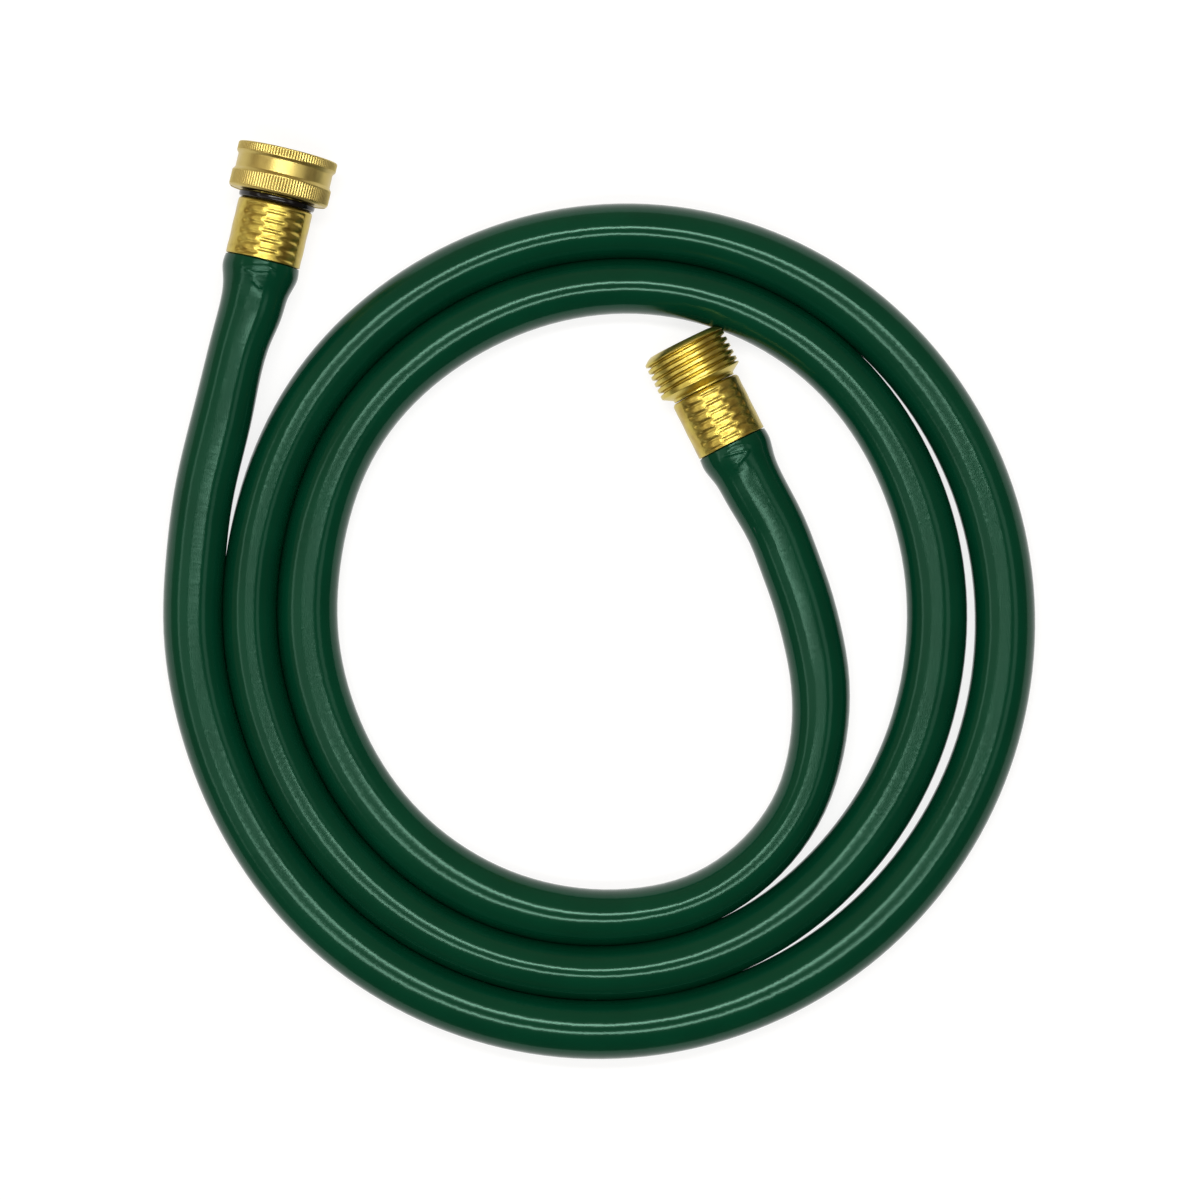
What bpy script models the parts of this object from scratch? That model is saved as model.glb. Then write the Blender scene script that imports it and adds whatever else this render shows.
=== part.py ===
"""Garden leader hose, lying in a loose flat coil of two and three quarter turns.

Eight pieces: the hose, a brass swivel nut with its rubber washer, the brass stem that
the nut turns on, a black seal ring behind the nut, a crimped brass ferrule at each end,
and a brass male fitting. Metres, +Z up, the floor is z = 0 and the origin is under the
middle of the coil.
"""

import math

import bpy
from mathutils import Matrix, Vector

MM = 0.001
FIT_GAP = 0.3 * MM                # between pieces that meet

# The hose
HOSE_OD = 18.7 * MM
HOSE_WALL = 3.0 * MM
HOSE_SIDES = 12
SWELL_OF_SQUEEZE = 0.9            # how much a section pressed narrower grows taller

# The coil, seen from above: angles run anticlockwise from +X and grow past 360
COIL_CENTRE = Vector((0.0, -10.1 * MM))
STATION_STEP = 10                 # degrees between the hose's sections
KNOT_STEP = 30                    # degrees between the values of the lists below
COIL_START = 170
COIL_END = 1010
TURN_GAP = 0.3 * MM               # between turns that touch
FIRST_TURN_RADIUS = [value * MM for value in (
    129.2, 126.1, 125.9, 125.5, 125.4, 126.0, 127.1, 128.4, 129.1, 131.1, 132.2, 132.4)]
STEP_IN = (400, 530)              # where the first turn makes room for itself
# Share by which the section is pressed narrower in plan, from COIL_START on
SQUEEZE = (0.015, 0.015, 0.015, 0.015, 0.015, 0.0, 0.0, 0.01, 0.04, 0.085, 0.085, 0.08,
           0.10, 0.10, 0.09, 0.11, 0.07, 0.01, 0.0, 0.01, 0.07, 0.09, 0.07, 0.07,
           0.0, 0.0, 0.0, 0.04, 0.13, 0.12, 0.02, 0.0, 0.0)
# Daylight between a turn and the turn outside it, from one turn past COIL_START on
OPENING = [value * MM for value in (
    0.0, 0.0, 0.0, 0.0, 0.0, 1.8, 2.65, 1.65, 0.0, 0.0, 0.0, 0.0,
    0.0, 0.0, 0.0, 0.0, 0.0, 0.0, 0.0)]

# The end that carries the nut leaves the coil outwards: angle, distance outside the coil
FEMALE_LEG = ((132.3, 28.1 * MM), (140.0, 17.0 * MM), (150.0, 7.6 * MM), (160.0, 2.9 * MM))
FEMALE_TURN = 13.4                # degrees from +Y towards +X that the nut's mouth points
FEMALE_LIFT_END = 190             # angle by which the hose lies on the floor
# The inner end bows inwards from an even run between the coil and the male fitting
MALE_LEG = ((1020, 0.0), (1030, 1.0 * MM), (1040, 3.0 * MM), (1050, 6.0 * MM),
            (1060, 8.9 * MM), (1070, 11.5 * MM), (1080, 13.5 * MM), (1090, 14.2 * MM),
            (1100, 13.7 * MM), (1110, 11.6 * MM))
MALE_LEG_END = 1135.0
MALE_TURN = -26.6                 # degrees from +Y towards +X that its mouth points
MALE_LIFT_START = 1050
MALE_TIP_GAP = 0.3 * MM           # from the male thread to the turn that it almost meets
MALE_TIP_AHEAD = 13.75            # degrees along the coil from the leg's end to that place

# The hose swells over the stem: distance from the ferrule, share of the ferrule's height
SWELL = ((0.4 * MM, 0.9), (3.5 * MM, 1.0), (6.5 * MM, 0.73), (9.5 * MM, 0.4),
         (15.0 * MM, 0.2))
END_STATIONS = 3                  # sections of the hose inside a ferrule

# Crimped ferrules
FERRULE_WALL = 0.65 * MM
FERRULE_LIP = 0.8 * MM
FERRULE_SHOULDER = 1.2 * MM       # rounding of the edge that faces the coupling
CRIMP_PITCH = 3.05 * MM
CRIMP_DEPTH = 0.3 * MM
FEMALE_FERRULE_OD = 23.7 * MM
FEMALE_FERRULE_LENGTH = 18.1 * MM
MALE_FERRULE_OD = 22.6 * MM
MALE_FERRULE_LENGTH = 18.9 * MM

# Stem tails inside the hose
TAIL_WALL = 1.3 * MM
BARB_HEIGHT = 0.25 * MM
BARB_EDGE = 0.02 * MM             # along the tail, over which a barb drops back
BARBS = 4
TAIL_SHORT = 1.5 * MM             # how far a tail stops short of its ferrule's end

# Garden hose thread, 3/4 in, 11.5 threads an inch, right hand
THREAD_PITCH = 25.4 / 11.5 * MM
THREAD_ROOT = 0.1125              # half width of the root, as a share of the pitch
THREAD_FLANK = 0.25               # width of a flank, as a share of the pitch
MALE_MAJOR_R = 13.45 * MM
MALE_MINOR_R = 12.1 * MM
FEMALE_MINOR_R = 12.25 * MM
FEMALE_MAJOR_R = 13.6 * MM
THREAD_ROWS = 6                   # sections along one pitch

# Male fitting
MALE_NECK_R = 10.35 * MM
MALE_NECK_LENGTH = 2.6 * MM
MALE_SHOULDER = 1.9 * MM          # part of the neck's length over which it widens
MALE_COLLAR = 0.8 * MM            # plain rim where the thread ends
MALE_THREAD_LENGTH = 13.6 * MM
MALE_BORE_R = 9.4 * MM
MALE_LIP_R = 10.9 * MM
MALE_CHAMFER = 1.8 * MM
MALE_FLOOR = 1.6 * MM             # thickness behind the threaded bore

# Swivel nut
NUT_R = 15.875 * MM
NUT_WAIST_R = 15.15 * MM
NUT_LENGTH = 14.6 * MM
NUT_MOUTH_BAND = 3.4 * MM
NUT_REAR_BAND = 6.0 * MM
NUT_EDGE = 0.35 * MM
NUT_REAR_EDGE = 0.8 * MM
NUT_BACK = 1.5 * MM
NUT_CAVITY = 4.2 * MM             # unthreaded room for the stem's flange, behind the thread
NUT_PLAY = 0.9 * MM               # radial, between the nut's back and the stem's neck
NUT_DROOP = 1.0                   # degrees that the loose nut's mouth hangs down

# Stem of the nut, its washer and the seal ring
STEM_NECK_R = 8.5 * MM
STEM_FLANGE_R = 11.6 * MM
STEM_FLANGE = 1.2 * MM
FLANGE_PLAY = 0.9 * MM            # along the axis, so that the drooping nut clears it
WASHER_R = 11.95 * MM
WASHER_HOLE_R = 7.6 * MM
WASHER_THICKNESS = 2.4 * MM
SEAL_R = 11.9 * MM
SEAL_THICKNESS = 1.5 * MM
SEAL_PLAY = 0.4 * MM             # along the axis, between the seal ring and the nut

LATHE_STEPS = 24
FERRULE_STEPS = 20
THREAD_STEPS = 28

# Derived: coupling axes rest at the height of what lies on the floor
FEMALE_AXIS_Z = (NUT_R * math.cos(math.radians(NUT_DROOP))
                 + NUT_LENGTH / 2 * math.sin(math.radians(NUT_DROOP)))
MALE_AXIS_Z = MALE_MAJOR_R
MALE_REACH = MALE_FERRULE_LENGTH + FIT_GAP + MALE_NECK_LENGTH + MALE_THREAD_LENGTH


def direction(turn_deg):
    """Level unit vector that points turn_deg from +Y towards +X."""
    turn = math.radians(turn_deg)
    return Vector((math.sin(turn), math.cos(turn), 0.0))


def smooth_read(values, place):
    """Value at a fractional index, on a Catmull-Rom curve through evenly spaced values."""
    low = int(math.floor(place))
    t = place - low
    p0, p1, p2, p3 = (values[min(max(low + k, 0), len(values) - 1)] for k in (-1, 0, 1, 2))
    return 0.5 * (2 * p1 + (p2 - p0) * t + (2 * p0 - 5 * p1 + 4 * p2 - p3) * t ** 2
                  + (3 * p1 - p0 - 3 * p2 + p3) * t ** 3)


def ease(t):
    """Smooth step from 0 to 1."""
    t = min(max(t, 0.0), 1.0)
    return t * t * (3 - 2 * t)


def squeeze(angle):
    return smooth_read(SQUEEZE, (angle - COIL_START) / KNOT_STEP)


def half_width(angle):
    return HOSE_OD / 2 * (1 - squeeze(angle))


def half_height(angle):
    return HOSE_OD / 2 * (1 + SWELL_OF_SQUEEZE * squeeze(angle))


def spacing(angle):
    """Distance from the turn outside to this one, centre to centre."""
    opening = smooth_read(OPENING, (angle - COIL_START - 360) / KNOT_STEP)
    return half_width(angle) + half_width(angle - 360) + TURN_GAP + opening


def coil_radius(angle):
    """Radius of the hose's middle: the first turn's own, then each turn inside the last."""
    if angle >= COIL_START + 360:
        return coil_radius(angle - 360) - spacing(angle)
    closed = FIRST_TURN_RADIUS[-1:] + FIRST_TURN_RADIUS + FIRST_TURN_RADIUS[:2]
    own = smooth_read(closed, (angle - COIL_START) / KNOT_STEP + 1)
    step = ease((angle - STEP_IN[0]) / (STEP_IN[1] - STEP_IN[0]))
    return own - step * spacing(COIL_START + 360)


def polar(angle, radius, height):
    turn = math.radians(angle)
    flat = COIL_CENTRE + radius * Vector((math.cos(turn), math.sin(turn)))
    return Vector((flat.x, flat.y, height))


def male_end_radius():
    """Radius at which the male thread's corner just clears the turn it points at."""
    corner = (direction(MALE_TURN) * (MALE_REACH - THREAD_PITCH)
              + direction(MALE_TURN + 90) * MALE_MAJOR_R)
    outward = polar(MALE_LEG_END, 1.0, 0.0) - polar(0, 0.0, 0.0)
    met = MALE_LEG_END - 360 + MALE_TIP_AHEAD
    rise = (MALE_AXIS_Z - half_height(met)) / half_height(met)
    edge = coil_radius(met) - half_width(met) * math.sqrt(1 - rise ** 2) - MALE_TIP_GAP
    along = outward.dot(corner)
    return -along + math.sqrt(along ** 2 - corner.length_squared + edge ** 2)


def route():
    """Points along the hose between its ferrules, each with its two half sizes."""
    round_half = HOSE_OD / 2
    points = []
    start = coil_radius(COIL_START)
    female = polar(FEMALE_LEG[0][0], start + FEMALE_LEG[0][1], FEMALE_AXIS_Z)
    female_swell = FEMALE_FERRULE_OD / 2 - round_half
    for distance, share in SWELL:
        half = round_half + share * female_swell
        points.append((female - direction(FEMALE_TURN) * distance, half, half))
    lift_from = FEMALE_LEG[0][0]

    def lowered(angle, low):
        share = ease((angle - lift_from) / (FEMALE_LIFT_END - lift_from))
        return FEMALE_AXIS_Z + (low - FEMALE_AXIS_Z) * share

    for angle, outside in FEMALE_LEG[1:]:
        points.append((polar(angle, start + outside, lowered(angle, round_half)),
                       half_width(angle), half_height(angle)))
    for angle in range(COIL_START, COIL_END + 1, STATION_STEP):
        points.append((polar(angle, coil_radius(angle), lowered(angle, half_height(angle))),
                       half_width(angle), half_height(angle)))

    inner_end = male_end_radius()
    last = coil_radius(COIL_END)
    for angle, bow in MALE_LEG:
        share = (angle - COIL_END) / (MALE_LEG_END - COIL_END)
        rise = ease((angle - MALE_LIFT_START) / (MALE_LEG_END - MALE_LIFT_START))
        low = half_height(angle)
        points.append((polar(angle, last + (inner_end - last) * share - bow,
                             low + (MALE_AXIS_Z - low) * rise), half_width(angle), low))
    male = polar(MALE_LEG_END, inner_end, MALE_AXIS_Z)
    male_swell = MALE_FERRULE_OD / 2 - round_half
    for distance, share in reversed(SWELL):
        half = round_half + share * male_swell
        points.append((male - direction(MALE_TURN) * distance, half, half))
    return female, points, male


def material(name, colour, roughness, metallic):
    made = bpy.data.materials.new(name)
    made.use_nodes = True
    shader = made.node_tree.nodes["Principled BSDF"]
    shader.inputs["Base Color"].default_value = (*colour, 1.0)
    shader.inputs["Roughness"].default_value = roughness
    shader.inputs["Metallic"].default_value = metallic
    return made


def add_object(name, mesh, finish, parent=None):
    mesh.materials.append(finish)
    made = bpy.data.objects.new(name, mesh)
    made.parent = parent
    bpy.context.scene.collection.objects.link(made)
    return made


def ring_skin(name, rings, sharp_deg=35):
    """Closed mesh through a closed sequence of rings with as many points each."""
    count = len(rings[0])
    faces = []
    for row in range(len(rings)):
        after = (row + 1) % len(rings)
        for k in range(count):
            beside = (k + 1) % count
            faces.append((row * count + k, after * count + k,
                          after * count + beside, row * count + beside))
    mesh = bpy.data.meshes.new(name)
    mesh.from_pydata([point for ring in rings for point in ring], [], faces)
    mesh.shade_smooth()
    mesh.set_sharp_from_angle(angle=math.radians(sharp_deg))
    return mesh


def turned(name, profile, finish, parent, steps=LATHE_STEPS):
    """Solid of revolution about local Z. The profile (radius, z) is a closed loop that
    runs down its outer side."""
    mesh = bpy.data.meshes.new(name)
    count = len(profile)
    mesh.from_pydata([(radius, 0.0, z) for radius, z in profile],
                     [(k, (k + 1) % count) for k in range(count)], [])
    made = add_object(name, mesh, finish, parent)
    spin = made.modifiers.new("Spin", "SCREW")
    spin.axis = "Z"
    spin.angle = math.tau
    spin.steps = steps
    spin.render_steps = steps
    spin.use_smooth_shade = True
    spin.merge_threshold = 0.00001
    return made


def thread_height(turn, z, low, high):
    """Share of the thread's depth at an angle and a height: a trapezoid along the pitch,
    wound right hand, that fades out over one pitch at each end."""
    phase = (z / THREAD_PITCH - turn / math.tau) % 1.0
    from_root = 0.5 - abs(phase - 0.5)
    tooth = min(max((from_root - THREAD_ROOT) / THREAD_FLANK, 0.0), 1.0)
    fade = min(max(min(z - low, high - z) / THREAD_PITCH, 0.0), 1.0)
    return tooth * fade


def threaded_rings(low, high, root, crest):
    """Rings from high down to low whose radius follows the thread."""
    rows = round((high - low) / THREAD_PITCH * THREAD_ROWS)
    rings = []
    for row in range(rows + 1):
        z = high + (low - high) * row / rows
        ring = []
        for k in range(THREAD_STEPS):
            turn = math.tau * k / THREAD_STEPS
            radius = root + (crest - root) * thread_height(turn, z, low, high)
            ring.append((radius * math.cos(turn), radius * math.sin(turn), z))
        rings.append(ring)
    return rings


def plain_rings(profile):
    return [[(radius * math.cos(math.tau * k / THREAD_STEPS),
              radius * math.sin(math.tau * k / THREAD_STEPS), z)
             for k in range(THREAD_STEPS)] for radius, z in profile]


def axis_empty(name, place, turn_deg, droop_deg=0.0):
    """Empty whose local Z runs along a coupling, towards its mouth."""
    z = direction(turn_deg)
    y = Vector((0.0, 0.0, 1.0))
    x = y.cross(z)
    frame = Matrix((x, y, z)).transposed().to_4x4()
    made = bpy.data.objects.new(name, None)
    made.matrix_world = (Matrix.Translation(place) @ frame
                         @ Matrix.Rotation(math.radians(droop_deg), 4, "X"))
    bpy.context.scene.collection.objects.link(made)
    return made


def section_ring(centre, along, width, height):
    """One oval section of the hose, square to its run, its width level."""
    side = along.cross(Vector((0.0, 0.0, 1.0))).normalized()
    up = side.cross(along).normalized()
    return [centre + side * width * math.cos(math.tau * k / HOSE_SIDES)
            + up * height * math.sin(math.tau * k / HOSE_SIDES) for k in range(HOSE_SIDES)]


def build_hose(finish):
    """The hose: an outer and an inner skin through the same sections. Inside a ferrule
    it is straight, and its bore is held open by the stem's tail."""
    female, points, male = route()

    def inside(end, turn, ferrule_od, length):
        """Sections inside a ferrule, from its hose end towards its lip."""
        outer = ferrule_od / 2 - FERRULE_WALL - CRIMP_DEPTH - FIT_GAP
        deep = length - FERRULE_LIP - FIT_GAP
        return [(end + direction(turn) * deep * k / (END_STATIONS - 1), outer, outer)
                for k in range(END_STATIONS)]

    first = inside(female, FEMALE_TURN, FEMALE_FERRULE_OD, FEMALE_FERRULE_LENGTH)
    last = inside(male, MALE_TURN, MALE_FERRULE_OD, MALE_FERRULE_LENGTH)
    stations = first[::-1] + points + last
    outer_rings, inner_rings = [], []
    for number, (centre, width, height) in enumerate(stations):
        before = stations[max(number - 1, 0)][0]
        after = stations[min(number + 1, len(stations) - 1)][0]
        along = (after - before).normalized()
        outer_rings.append(section_ring(centre, along, width, height))
        inner_rings.append(section_ring(centre, along, width - HOSE_WALL,
                                        height - HOSE_WALL))
    return add_object("hose", ring_skin("hose", outer_rings + inner_rings[::-1]), finish)


def hose_bore_r(ferrule_od):
    """Radius of the hose's bore inside a ferrule."""
    return ferrule_od / 2 - FERRULE_WALL - CRIMP_DEPTH - FIT_GAP - HOSE_WALL


def build_ferrule(name, ferrule_od, length, neck_r, finish, parent):
    """Brass sleeve, crimped into a row of ridges, with a lip round the stem's neck."""
    radius = ferrule_od / 2
    bore = radius - FERRULE_WALL - CRIMP_DEPTH
    hole = neck_r + FIT_GAP
    ridges = int((length - 2 * FERRULE_SHOULDER) / CRIMP_PITCH)
    margin = (length - ridges * CRIMP_PITCH) / 2
    bend = FERRULE_SHOULDER * (1 - math.cos(math.radians(45)))
    profile = [(radius - FERRULE_SHOULDER, length), (radius - bend, length - bend),
               (radius, length - FERRULE_SHOULDER)]
    for ridge in range(ridges):
        top = length - margin - ridge * CRIMP_PITCH
        profile += [(radius, top), (radius - CRIMP_DEPTH, top - CRIMP_PITCH / 2)]
    profile += [(radius, margin), (radius, 0.0), (bore, 0.0),
                (bore, length - FERRULE_LIP), (hole, length - FERRULE_LIP), (hole, length)]
    return turned(name, profile, finish, parent, FERRULE_STEPS)


def tail_profile(bore_r, length):
    """Outer side of a barbed tail, from the hose's end face down to its tip."""
    radius = bore_r - FIT_GAP
    run = length - TAIL_SHORT
    profile = []
    for barb in range(BARBS):
        top = length - run * barb / BARBS
        profile += [(radius, top), (radius - BARB_HEIGHT, top - BARB_EDGE)]
    profile += [(radius - BARB_HEIGHT, TAIL_SHORT)]
    return profile


def build_female_end(brass, satin_brass, rubber, seal):
    female = route()[0]
    stem_axis = axis_empty("female_axis", female, FEMALE_TURN)
    build_ferrule("female_ferrule", FEMALE_FERRULE_OD, FEMALE_FERRULE_LENGTH, STEM_NECK_R,
                  brass, stem_axis)

    seal_low = FEMALE_FERRULE_LENGTH + FIT_GAP
    seal_high = seal_low + SEAL_THICKNESS
    seal_hole = STEM_NECK_R + FIT_GAP
    edge = SEAL_THICKNESS / 4
    turned("seal_ring", [(seal_hole, seal_high), (SEAL_R - edge, seal_high),
                         (SEAL_R, seal_high - edge), (SEAL_R, seal_low + edge),
                         (SEAL_R - edge, seal_low), (seal_hole, seal_low)],
           seal, stem_axis)

    nut_low = seal_high + SEAL_PLAY
    flange_low = nut_low + NUT_BACK + FLANGE_PLAY
    flange_high = flange_low + STEM_FLANGE
    bore_r = hose_bore_r(FEMALE_FERRULE_OD)
    hose_face = FEMALE_FERRULE_LENGTH - FERRULE_LIP
    stem_bore = bore_r - FIT_GAP - BARB_HEIGHT - TAIL_WALL
    turned("female_stem",
           [(stem_bore, flange_high), (STEM_FLANGE_R, flange_high),
            (STEM_FLANGE_R, flange_low), (STEM_NECK_R, flange_low),
            (STEM_NECK_R, hose_face), *tail_profile(bore_r, hose_face),
            (stem_bore, TAIL_SHORT)], brass, stem_axis)

    middle = female + direction(FEMALE_TURN) * (nut_low + NUT_LENGTH / 2)
    nut_axis = axis_empty("swivel_axis", middle, FEMALE_TURN, NUT_DROOP)
    build_nut(satin_brass, nut_axis)
    washer_low = flange_high - nut_low - NUT_LENGTH / 2 + FLANGE_PLAY
    washer_high = washer_low + WASHER_THICKNESS
    turned("hose_washer", [(WASHER_HOLE_R, washer_high), (WASHER_R, washer_high),
                           (WASHER_R, washer_low), (WASHER_HOLE_R, washer_low)],
           rubber, nut_axis)
    return stem_axis, nut_axis


def build_nut(finish, parent):
    """Swivel nut: a band at each end of a smooth waist, threaded inside, with a cavity
    for the stem's flange and a back that holds the nut on the stem."""
    high, low = NUT_LENGTH / 2, -NUT_LENGTH / 2
    outer = [(NUT_R - NUT_EDGE, high), (NUT_R, high - NUT_EDGE),
             (NUT_R, high - NUT_MOUTH_BAND), (NUT_WAIST_R, high - NUT_MOUTH_BAND),
             (NUT_WAIST_R, low + NUT_REAR_BAND), (NUT_R, low + NUT_REAR_BAND),
             (NUT_R, low + NUT_REAR_EDGE), (NUT_R - NUT_REAR_EDGE, low)]
    hole = STEM_NECK_R + NUT_PLAY
    thread_low = low + NUT_BACK + NUT_CAVITY
    back = [(hole, low), (hole, low + NUT_BACK), (FEMALE_MAJOR_R, low + NUT_BACK),
            (FEMALE_MAJOR_R, thread_low)]
    thread = threaded_rings(thread_low, high, FEMALE_MAJOR_R, FEMALE_MINOR_R)
    rings = plain_rings(outer) + plain_rings(back) + thread[::-1][1:]
    return add_object("swivel_nut", ring_skin("swivel_nut", rings), finish, parent)


def build_male_end(brass):
    male = route()[2]
    axis = axis_empty("male_axis", male, MALE_TURN)
    neck_hole = hose_bore_r(MALE_FERRULE_OD) - FIT_GAP
    build_ferrule("male_ferrule", MALE_FERRULE_OD, MALE_FERRULE_LENGTH, neck_hole,
                  brass, axis)
    neck_low = MALE_FERRULE_LENGTH + FIT_GAP
    thread_low = neck_low + MALE_NECK_LENGTH
    thread_high = thread_low + MALE_THREAD_LENGTH
    bore_r = hose_bore_r(MALE_FERRULE_OD)
    hose_face = MALE_FERRULE_LENGTH - FERRULE_LIP
    tail_bore = bore_r - FIT_GAP - BARB_HEIGHT - TAIL_WALL
    mouth = [(MALE_BORE_R, thread_high), (MALE_LIP_R, thread_high)]
    collar_high = thread_low + MALE_COLLAR
    thread = threaded_rings(collar_high, thread_high - MALE_CHAMFER, MALE_MINOR_R,
                            MALE_MAJOR_R)
    behind = [(MALE_MAJOR_R, collar_high), (MALE_MAJOR_R, thread_low),
              (MALE_NECK_R, thread_low - MALE_SHOULDER), (MALE_NECK_R, neck_low),
              (neck_hole, neck_low),
              (neck_hole, hose_face), *tail_profile(bore_r, hose_face)[1:],
              (tail_bore, TAIL_SHORT), (tail_bore, thread_low + MALE_FLOOR),
              (MALE_BORE_R, thread_low + MALE_FLOOR)]
    rings = plain_rings(mouth) + thread + plain_rings(behind)
    return add_object("male_fitting", ring_skin("male_fitting", rings), brass, axis)


def clear_scene():
    for old in list(bpy.data.objects):
        bpy.data.objects.remove(old, do_unlink=True)


def main():
    clear_scene()
    hose_green = material("green_pvc", (0.004, 0.045, 0.025), 0.3, 0.0)
    brass = material("polished_brass", (0.72, 0.55, 0.16), 0.15, 1.0)
    satin_brass = material("satin_brass", (0.66, 0.5, 0.2), 0.35, 1.0)
    washer_black = material("washer_rubber", (0.02, 0.02, 0.02), 0.6, 0.0)
    seal_black = material("seal_rubber", (0.015, 0.015, 0.018), 0.25, 0.0)
    build_hose(hose_green)
    build_female_end(brass, satin_brass, washer_black, seal_black)
    build_male_end(brass)


main()
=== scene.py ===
"""Looks of a short green garden hose with brass ends, lying in a flat coil.

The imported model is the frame. Every piece is a surface worked out with numpy on a grid of
rows and columns, closed both ways round, in metres, where the frame has that piece.
"""

import math

import bpy
import numpy as np
from mathutils import Matrix


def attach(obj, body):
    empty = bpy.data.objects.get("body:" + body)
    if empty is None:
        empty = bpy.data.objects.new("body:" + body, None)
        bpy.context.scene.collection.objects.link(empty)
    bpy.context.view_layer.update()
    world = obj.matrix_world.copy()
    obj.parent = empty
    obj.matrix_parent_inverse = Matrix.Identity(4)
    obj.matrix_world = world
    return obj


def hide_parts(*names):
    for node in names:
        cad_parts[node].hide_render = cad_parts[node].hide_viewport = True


bl_info = {
    "name": "Garden Leader Hose",
    "version": (1, 0, 0),
    "blender": (4, 5, 0),
    "location": "View3D > Sidebar > Hose",
    "description": "Dresses a coiled garden hose with brass couplings and lights it",
    "category": "Object",
}

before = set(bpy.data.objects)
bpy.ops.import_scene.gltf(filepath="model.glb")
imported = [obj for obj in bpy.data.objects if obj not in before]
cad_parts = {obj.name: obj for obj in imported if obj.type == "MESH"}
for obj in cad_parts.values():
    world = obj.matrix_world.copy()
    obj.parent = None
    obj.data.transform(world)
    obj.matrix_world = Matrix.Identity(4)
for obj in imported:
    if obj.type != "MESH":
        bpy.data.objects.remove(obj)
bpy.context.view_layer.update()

MM = 0.001
FIT_GAP = 0.3 * MM                # the part's working gap between two pieces

# The hose and its route, as in the part: angles run anticlockwise from +X, past 360
HOSE_OD = 18.7 * MM
HOSE_WALL = 3.0 * MM
SWELL_OF_SQUEEZE = 0.9            # share of the lost width that the height gains
COIL_CENTRE = np.array((0.0, -10.1 * MM))
STATION_STEP = 10                 # degrees between the route's points in the coil
KNOT_STEP = 30                    # degrees between the values of the lists below
COIL_START = 170
COIL_END = 1010
TURN_GAP = 0.3 * MM               # the part's working gap between two turns
TURN_LAP = 0.65 * TURN_GAP        # what the soft skin adds on each side to close it
FIRST_TURN_RADIUS = MM * np.array(
    (129.2, 126.1, 125.9, 125.5, 125.4, 126.0, 127.1, 128.4, 129.1, 131.1, 132.2, 132.4))
STEP_IN = (400, 530)              # where the first turn moves in, to pass inside its start
# Share of its width that the hose loses to the turns beside it
SQUEEZE = (0.015, 0.015, 0.015, 0.015, 0.015, 0.0, 0.0, 0.01, 0.04, 0.085, 0.085, 0.08,
           0.10, 0.10, 0.09, 0.11, 0.07, 0.01, 0.0, 0.01, 0.07, 0.09, 0.07, 0.07,
           0.0, 0.0, 0.0, 0.04, 0.13, 0.12, 0.02, 0.0, 0.0)
# Room beyond the gap between a turn and the one outside it
OPENING = MM * np.array(
    (0.0, 0.0, 0.0, 0.0, 0.0, 1.8, 2.65, 1.65, 0.0, 0.0, 0.0, 0.0,
     0.0, 0.0, 0.0, 0.0, 0.0, 0.0, 0.0))
# Leg to each end: angle, and distance outside the first turn or bow towards the middle
FEMALE_LEG = ((132.3, 28.1 * MM), (140.0, 17.0 * MM), (150.0, 7.6 * MM), (160.0, 2.9 * MM))
FEMALE_TURN = 13.4                # degrees from +Y towards +X in which the end points
FEMALE_LIFT_END = 190             # angle from which the hose lies on the floor
MALE_LEG = ((1020, 0.0), (1030, 1.0 * MM), (1040, 3.0 * MM), (1050, 6.0 * MM),
            (1060, 8.9 * MM), (1070, 11.5 * MM), (1080, 13.5 * MM), (1090, 14.2 * MM),
            (1100, 13.7 * MM), (1110, 11.6 * MM))
MALE_LEG_END = 1135.0
MALE_TURN = -26.6
MALE_LIFT_START = 1050
MALE_TIP_GAP = 0.3 * MM
MALE_TIP_AHEAD = 13.75            # degrees from the leg's end to where its corner is nearest
# Folds of the skin beside each ferrule: places (from the ferrule, to the right of the top
# as the mouth points up), height and half width, in millimetres
FEMALE_FOLDS = (
    (((3.3, -4.2), (2.4, -1.4), (1.4, 2.4), (2.3, 4.4)), 0.16, 0.36),
    (((3.9, -2.8), (3.5, 0.2), (2.6, 3.0)), 0.14, 0.36),
    (((4.3, -2.6), (5.6, -0.9), (6.9, -0.6), (8.5, 1.5)), 0.2, 0.5))
MALE_FOLDS = (
    (((1.1, -2.2), (1.0, 0.2), (2.2, 3.4)), 0.12, 0.36),
    (((2.4, -3.4), (3.2, 0.0), (4.2, 2.5)), 0.17, 0.4),
    (((4.2, 2.5), (5.3, 1.5), (6.3, -1.2), (7.4, -2.4)), 0.2, 0.5))
FOLD_RISE = 0.8 * MM              # over which the folds start at the ferrule's edge
# Swell towards a ferrule: distance from it, and share of the step up to its radius
SWELL = ((0.4 * MM, 0.9), (3.5 * MM, 1.0), (6.5 * MM, 0.73), (9.5 * MM, 0.4),
         (15.0 * MM, 0.2))

# Sections of the hose's skin: FINE_STEP apart beside a ferrule, then NEAR_STEP
FINE_STEP = 0.18 * MM
FINE_END = 9 * MM
NEAR_STEP = 0.8 * MM
NEAR_END = 26 * MM
# Two sections turn in at the ferrule's edge, the others lie under it at these shares
EDGE_AHEAD = MM * np.array((0.3, 0.15))
EDGE_INSET = MM * np.array((0.45, 0.75))
INSIDE_SHARES = np.array((0.0, 0.02, 0.3, 0.65, 1.0))
INSIDE_SECTIONS = len(EDGE_AHEAD) + len(INSIDE_SHARES)
TOP_CROWDING = 0.45               # how much closer the columns stand on top
BORE_STRIDE = 6                   # sections of the skin for each one of the bore

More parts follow.
